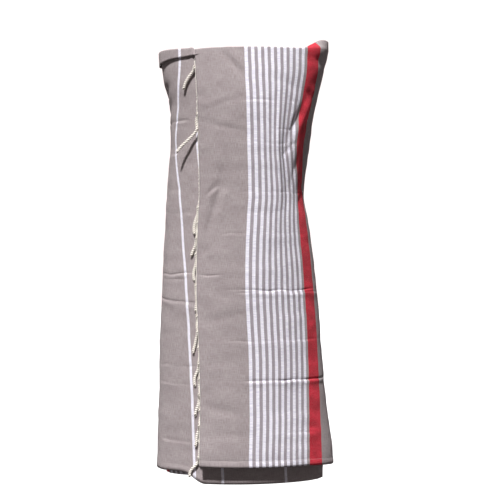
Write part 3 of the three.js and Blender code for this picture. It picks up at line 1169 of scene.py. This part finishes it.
class Nodes:
    """A small helper that adds and joins shader nodes."""

    def __init__(self, material: bpy.types.Material) -> None:
        self.tree = material.node_tree
        self.tree.nodes.clear()

    def add(self, kind: str, **settings: object) -> bpy.types.Node:
        """Adds a node.

        Args:
            kind: the node's type name.
            **settings: properties to set on it.

        Returns:
            The node.
        """
        node = self.tree.nodes.new(kind)
        for name, value in settings.items():
            setattr(node, name, value)
        return node

    def join(self, source: bpy.types.NodeSocket, target: bpy.types.NodeSocket) -> None:
        """Joins two sockets."""
        self.tree.links.new(source, target)

    def math(self, operation: str, *inputs: object) -> bpy.types.NodeSocket:
        """Adds a math node.

        Args:
            operation: the operation's name.
            *inputs: sockets or plain numbers.

        Returns:
            The result's socket.
        """
        node = self.add("ShaderNodeMath", operation=operation)
        for socket, value in zip(node.inputs, inputs):
            if isinstance(value, bpy.types.NodeSocket):
                self.join(value, socket)
            else:
                socket.default_value = value
        return node.outputs[0]

    def mix(self, share: object, low: object, high: object, blend: str = "MIX") -> bpy.types.NodeSocket:
        """Mixes two colours.

        Args:
            share: socket or number from 0 to 1.
            low: colour or socket at 0.
            high: colour or socket at 1.
            blend: the way of mixing.

        Returns:
            The mixed colour's socket.
        """
        node = self.add("ShaderNodeMix", data_type="RGBA", blend_type=blend)
        for socket, value in ((node.inputs[0], share), (node.inputs[6], low), (node.inputs[7], high)):
            if isinstance(value, bpy.types.NodeSocket):
                self.join(value, socket)
            else:
                socket.default_value = value
        return node.outputs[2]

    def spread(self, value: bpy.types.NodeSocket, low: float, high: float) -> bpy.types.NodeSocket:
        """Stretches the values between two limits to the whole range from 0 to 1.

        Args:
            value: the value's socket.
            low: the value that becomes 0.
            high: the value that becomes 1.

        Returns:
            The stretched value's socket.
        """
        node = self.add("ShaderNodeMapRange")
        self.join(value, node.inputs[0])
        node.inputs[1].default_value = low
        node.inputs[2].default_value = high
        return node.outputs[0]

    def bump(self, height: bpy.types.NodeSocket, strength: float, depth: float) -> bpy.types.NodeSocket:
        """Turns a height into a bumped normal.

        Args:
            height: the height's socket.
            strength: the strength of the bump.
            depth: its depth in metres.

        Returns:
            The normal's socket.
        """
        node = self.add("ShaderNodeBump")
        node.inputs["Strength"].default_value = strength
        node.inputs["Distance"].default_value = depth
        self.join(height, node.inputs["Height"])
        return node.outputs[0]


def colour(red: float, green: float, blue: float) -> tuple[float, float, float, float]:
    """Turns a screen colour of 0 to 255 into a linear one.

    Args:
        red: red.
        green: green.
        blue: blue.

    Returns:
        Linear red, green, blue and alpha.
    """
    def linear(value: float) -> float:
        share = value / 255
        return share / 12.92 if share <= 0.04045 else ((share + 0.055) / 1.055) ** 2.4

    return linear(red), linear(green), linear(blue), 1.0


class Palette(Enum):
    """Colours of the yarns, as the screen shows them, and the painted shade of the grooves between a cord's
    plies.
    """

    TAUPE = (170, 160, 161)
    TAUPE_DARK = (144, 131, 133)
    WHITE = (250, 248, 255)
    WHITE_DARK = (224, 220, 236)
    COOL = (150, 148, 168)
    RED = (210, 42, 62)
    RED_DARK = (172, 24, 42)
    RED_PALE = (226, 128, 136)
    WARP = (184, 175, 174)
    CREAM = (255, 250, 241)
    CREAM_DARK = (244, 236, 226)
    # painted shade: the dark that falls in the groove between the two plies of a cord
    GROOVE_SHADE = (128, 108, 96)

    @property
    def linear(self) -> tuple[float, float, float, float]:
        """The linear colour."""
        return colour(*self.value)


@dataclass(frozen=True)
class Grain:
    """Random unevenness of the yarns.

    Args:
        scale: how fine it is along the cloth and up it.
        detail: how many finer layers it has.
    """

    scale: tuple[float, float]
    detail: float


DRIFT = Grain((2.0, 14.0), 2.0)
SLUBS = Grain((850.0, 70.0), 3.0)
CROSS_YARNS = Grain((55.0, 620.0), 3.0)
CLOUDS = Grain((24.0, 40.0), 4.0)
FLECKS = Grain((420.0, 420.0), 3.0)


def rough_surface(
    node: Nodes, tint: bpy.types.NodeSocket, bump: bpy.types.NodeSocket, values: dict[str, float]
) -> None:
    """Joins a colour and a bump to a surface and the material's output.

    Args:
        node: the material's nodes.
        tint: the colour.
        bump: the normal that the bump gives.
        values: the surface's other values by the names of its inputs.
    """
    surface = node.add("ShaderNodeBsdfPrincipled")
    node.join(tint, surface.inputs["Base Color"])
    for name, value in values.items():
        surface.inputs[name].default_value = value
    node.join(bump, surface.inputs["Normal"])
    output = node.add("ShaderNodeOutputMaterial")
    node.join(surface.outputs[0], output.inputs[0])


@dataclass(frozen=True)
class CottonMaterial:
    """The woven, striped cotton of the cloth.

    Args:
        soft_edge: half the width over which a stripe's edge fades.
        wander: how far the stripes stray from straight.
        slack_yarns: share of the paler cross yarns in the taupe ground.
        clouding: share of the darker clouds in it.
        cool_share: share of the cooler tint between the white stripes.
        ground_flecks: share of pale flecks over the whole cloth.
        red_flecks: share of pale flecks in the red stripe.
        stitch: length of one stitch of the hem's seam.
        stitch_width: half the width of the seam.
        stitch_share: how pale the stitches are.
        warp_pitch: distance from yarn to yarn up the cloth.
        weft_pitch: the same along it.
        bump_strength: strength of the bump.
        bump_depth: its depth in metres.
    """

    soft_edge: float = 0.35
    wander: float = 2.4
    slack_yarns: float = 0.42
    clouding: float = 0.3
    cool_share: float = 0.3
    ground_flecks: float = 0.12
    red_flecks: float = 0.18
    stitch: float = 3.4
    stitch_width: float = 0.7
    stitch_share: float = 0.5
    warp_pitch: float = 0.85
    weft_pitch: float = 0.75
    bump_strength: float = 0.8
    bump_depth: float = 0.0008

    def _band(self, node: Nodes, place: bpy.types.NodeSocket, band: Band) -> bpy.types.NodeSocket:
        """Gives 1 inside a band and 0 outside, with soft edges."""
        middle = (band.start + band.stop) / 2
        half = (band.stop - band.start) / 2
        off = node.math("ABSOLUTE", node.math("SUBTRACT", place, middle))
        step = node.add("ShaderNodeMapRange", interpolation_type="SMOOTHSTEP")
        node.join(off, step.inputs[0])
        step.inputs[1].default_value = half - self.soft_edge
        step.inputs[2].default_value = half + self.soft_edge
        step.inputs[3].default_value = 1.0
        step.inputs[4].default_value = 0.0
        return step.outputs[0]

    @staticmethod
    def _noise(node: Nodes, vector: bpy.types.NodeSocket, grain: Grain) -> bpy.types.NodeSocket:
        """Adds noise with its own scale along the cloth and up it."""
        mapping = node.add("ShaderNodeMapping")
        node.join(vector, mapping.inputs[0])
        mapping.inputs["Scale"].default_value = (*grain.scale, 1.0)
        noise = node.add("ShaderNodeTexNoise", noise_dimensions="2D")
        node.join(mapping.outputs[0], noise.inputs["Vector"])
        noise.inputs["Scale"].default_value = 1.0
        noise.inputs["Detail"].default_value = grain.detail
        return noise.outputs[0]

    def _mirrored(
        self, node: Nodes, cloth: bpy.types.NodeSocket, along: bpy.types.NodeSocket
    ) -> bpy.types.NodeSocket:
        """Gives the distance from the nearer end, as the stripes are mirrored about the middle.

        Args:
            node: the material's nodes.
            cloth: the place on the flat cloth.
            along: the distance along it, in millimetres.

        Returns:
            The distance, strayed a little as the yarns do.
        """
        drift = self._noise(node, cloth, DRIFT)
        strayed = node.math("MULTIPLY", node.math("SUBTRACT", drift, 0.5), self.wander)
        placed = node.math("ADD", along, strayed)
        half = CLOTH_LENGTH / 2
        return node.math("SUBTRACT", half, node.math("ABSOLUTE", node.math("SUBTRACT", placed, half)))

    def _colours(
        self, node: Nodes, cloth: bpy.types.NodeSocket, place: bpy.types.NodeSocket, noises: dict[str, object]
    ) -> bpy.types.NodeSocket:
        """Mixes the colours of the ground and the stripes.

        Args:
            node: the material's nodes.
            cloth: the place on the flat cloth.
            place: the distance from the nearer end.
            noises: the slubs and the cross yarns.

        Returns:
            The colour.
        """
        white = None
        for band in WHITE_BANDS + THIN_BANDS:
            mask = self._band(node, place, band)
            white = mask if white is None else node.math("ADD", white, mask)
        red = self._band(node, place, RED_BAND)
        slub = noises["slub"]
        cross = noises["cross"]
        cloud = self._noise(node, cloth, CLOUDS)
        fleck = node.spread(self._noise(node, cloth, FLECKS), 0.35, 0.65)

        taupe = node.mix(node.spread(slub, 0.3, 0.7), Palette.TAUPE_DARK.linear, Palette.TAUPE.linear)
        paler = node.math("MULTIPLY", node.spread(cross, 0.35, 0.75), self.slack_yarns)
        taupe = node.mix(paler, taupe, Palette.WARP.linear)
        darker = node.math("MULTIPLY", node.spread(cloud, 0.4, 0.7), self.clouding)
        taupe = node.mix(darker, taupe, Palette.TAUPE_DARK.linear)
        pale = node.mix(node.spread(cross, 0.3, 0.7), Palette.WHITE_DARK.linear, Palette.WHITE.linear)
        scarlet = node.mix(node.spread(cloud, 0.35, 0.65), Palette.RED_DARK.linear, Palette.RED.linear)
        scarlet = node.mix(node.math("MULTIPLY", fleck, self.red_flecks), scarlet, Palette.RED_PALE.linear)

        between = node.math("MULTIPLY", self._band(node, place, STRIPED_PART), self.cool_share)
        ground = node.mix(between, taupe, Palette.COOL.linear)
        ground = node.mix(white, ground, pale)
        ground = node.mix(node.math("MULTIPLY", fleck, self.ground_flecks), ground, Palette.WARP.linear)
        return node.mix(red, ground, scarlet)

    def _stitches(
        self, node: Nodes, along: bpy.types.NodeSocket, up: bpy.types.NodeSocket
    ) -> bpy.types.NodeSocket:
        """Gives 1 on the stitches of the hem's seam and 0 elsewhere."""
        line = Band(Wrinkles.HEM_DEPTH - self.stitch_width, Wrinkles.HEM_DEPTH + self.stitch_width)
        seam = self._band(node, up, line)
        wave = node.math("SINE", node.math("MULTIPLY", along, 2 * math.pi / self.stitch))
        return node.math("MULTIPLY", seam, node.spread(wave, -0.5, 0.2))

    def build(self) -> bpy.types.Material:
        """Builds the shader.

        Returns:
            The material.
        """
        material = bpy.data.materials.new("striped_cotton_weave")
        material.use_nodes = True
        node = Nodes(material)
        cloth = node.add("ShaderNodeUVMap", uv_map="cloth").outputs[0]
        split = node.add("ShaderNodeSeparateXYZ")
        node.join(cloth, split.inputs[0])
        along = node.math("MULTIPLY", split.outputs[0], 1 / MM)
        up = node.math("MULTIPLY", split.outputs[1], 1 / MM)
        slub = self._noise(node, cloth, SLUBS)
        cross = self._noise(node, cloth, CROSS_YARNS)
        place = self._mirrored(node, cloth, along)
        stitches = self._stitches(node, along, up)
        ground = self._colours(node, cloth, place, {"slub": slub, "cross": cross})
        pale_seam = node.math("MULTIPLY", stitches, self.stitch_share)
        ground = node.mix(pale_seam, ground, Palette.WARP.linear)

        warp = node.math("SINE", node.math("MULTIPLY", up, 2 * math.pi / self.warp_pitch))
        weft = node.math("SINE", node.math("MULTIPLY", along, 2 * math.pi / self.weft_pitch))
        weave = node.math("MULTIPLY", node.math("MULTIPLY", warp, weft), 0.25)
        height = node.math("ADD", weave, node.math("MULTIPLY", slub, 0.9))
        height = node.math("ADD", height, node.math("MULTIPLY", cross, 0.8))
        height = node.math("ADD", height, node.math("MULTIPLY", stitches, 0.8))
        bump = node.bump(height, self.bump_strength, self.bump_depth)
        values = {
            "Roughness": 0.92,
            "Specular IOR Level": 0.18,
            "Sheen Weight": 0.05,
            "Sheen Roughness": 0.6,
        }
        rough_surface(node, ground, bump, values)
        return material


@dataclass(frozen=True)
class CordMaterial:
    """The cream cotton of the cords, with painted shade in the grooves between the plies.

    Args:
        grain: how fine its unevenness is.
        painted_shade_from: how deep in the groove between the plies the painted shade starts.
        painted_shade_to: where the painted shade is darkest.
        bump_strength: strength of the bump.
        bump_depth: its depth in metres.
    """

    grain: float = 900.0
    painted_shade_from: float = 0.25
    painted_shade_to: float = 0.6
    bump_strength: float = 0.5
    bump_depth: float = 0.0004

    def build(self) -> bpy.types.Material:
        """Builds the shader.

        Returns:
            The material.
        """
        material = bpy.data.materials.new("cream_cotton_cord")
        material.use_nodes = True
        node = Nodes(material)
        place = node.add("ShaderNodeTexCoord")
        noise = node.add("ShaderNodeTexNoise")
        node.join(place.outputs["Object"], noise.inputs["Vector"])
        noise.inputs["Scale"].default_value = self.grain
        noise.inputs["Detail"].default_value = 3.0
        split = node.add("ShaderNodeSeparateXYZ")
        node.join(node.add("ShaderNodeUVMap", uv_map="cloth").outputs[0], split.inputs[0])
        # painted shade: each ply darkens towards the groove where it meets the other ply
        groove = node.spread(split.outputs[0], self.painted_shade_from, self.painted_shade_to)
        tint = node.mix(noise.outputs[0], Palette.CREAM_DARK.linear, Palette.CREAM.linear)
        tint = node.mix(groove, tint, Palette.GROOVE_SHADE.linear)
        bump = node.bump(noise.outputs[0], self.bump_strength, self.bump_depth)
        rough_surface(node, tint, bump, {"Roughness": 0.9, "Specular IOR Level": 0.2, "Sheen Weight": 0.15})
        return material


@dataclass(frozen=True)
class Studio:
    """The pale floor, the light and the camera.

    Args:
        camera_place: where the camera stands, in metres.
        lens: its focal length in millimetres.
        sensor: the width of its sensor in millimetres.
        floor_height: height of the floor.
        floor_half: half the floor's width.
        key_place: where the key light shines from.
        key_strength: its strength.
        key_spread: how wide it looks, in degrees.
        fill: brightness of the surround as the cloth sees it.
        backdrop: brightness of the surround as the camera sees it.
        fill_colour: colour of the surround.
    """

    camera_place: tuple[float, float, float] = (0.0156, -2.6, -0.486)
    lens: float = 78.0
    sensor: float = 36.0
    floor_height: float = -1.36
    floor_half: float = 14.0
    key_place: tuple[float, float, float] = (-0.72, -2.15, 3.4)
    key_strength: float = 6.4
    key_spread: float = 4.0
    fill: float = 0.16
    backdrop: float = 1.15
    fill_colour: tuple[float, float, float, float] = (1, 0.92, 0.91, 1)

    def floor(self) -> bpy.types.Object:
        """Lays a plain pale floor under the object.

        Returns:
            The floor.
        """
        turns = ((-1, -1), (1, -1), (1, 1), (-1, 1))
        spots = np.array([(self.floor_half * x, self.floor_half * y, self.floor_height) for x, y in turns])
        made = MeshMaker.build("floor", spots, np.array([[0, 1, 2, 3]]), None)
        material = bpy.data.materials.new("pale_floor")
        material.use_nodes = True
        surface = material.node_tree.nodes["Principled BSDF"]
        surface.inputs["Base Color"].default_value = (0.8, 0.8, 0.8, 1)
        surface.inputs["Roughness"].default_value = 0.9
        made.data.materials.append(material)
        made.visible_diffuse = False
        return made

    def sun(self) -> None:
        """Adds the key light: high, from the front and a little from the left, as the shadows show it."""
        data = bpy.data.lights.new("key", "SUN")
        data.energy = self.key_strength
        data.angle = math.radians(self.key_spread)
        lamp = bpy.data.objects.new("key", data)
        lamp.location = self.key_place
        lamp.rotation_euler = (-Vector(self.key_place)).to_track_quat("-Z", "Y").to_euler()
        bpy.context.scene.collection.objects.link(lamp)

    def world(self) -> None:
        """Sets an even white surround that fills the shadows only softly."""
        world = bpy.data.worlds.new("studio")
        world.use_nodes = True
        tree = world.node_tree
        background = tree.nodes["Background"]
        background.inputs[0].default_value = self.fill_colour
        seen = tree.nodes.new("ShaderNodeLightPath")
        brightness = tree.nodes.new("ShaderNodeMapRange")
        tree.links.new(seen.outputs["Is Camera Ray"], brightness.inputs[0])
        brightness.inputs[3].default_value = self.fill
        brightness.inputs[4].default_value = self.backdrop
        tree.links.new(brightness.outputs[0], background.inputs[1])
        bpy.context.scene.world = world

    def camera(self) -> None:
        """Places the camera where the photograph was taken from."""
        data = bpy.data.cameras.new("camera")
        data.lens = self.lens
        data.sensor_width = self.sensor
        camera = bpy.data.objects.new("camera", data)
        camera.location = self.camera_place
        camera.rotation_euler = (math.radians(90), 0, 0)
        bpy.context.scene.collection.objects.link(camera)
        bpy.context.scene.camera = camera

    def build(self) -> bpy.types.Object:
        """Sets up the whole studio.

        Returns:
            The floor.
        """
        bpy.context.scene.view_settings.view_transform = "Standard"
        self.world()
        self.sun()
        self.camera()
        return self.floor()


def main() -> None:
    """Builds the scene."""
    logging.basicConfig(level=logging.INFO, format="%(name)s: %(message)s")
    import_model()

    wrap = Wrap()
    cotton = CottonMaterial().build()
    cream = CordMaterial().build()

    cloth = ClothBuilder(wrap).build()
    cloth.data.materials.append(cotton)
    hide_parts("cloth")
    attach(cloth, "root")

    fringes = []
    for side in Side:
        fringe = FringeBuilder(wrap, side).build()
        fringe.data.materials.append(cream)
        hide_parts(f"fringe_{side.value}")
        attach(fringe, "root")
        fringes.append(fringe)

    Studio().build()

    for made in (cloth, *fringes):
        made.data.calc_loop_triangles()
        LOG.info("%s has %d triangles", made.name, len(made.data.loop_triangles))


if __name__ == "__main__":
    main()
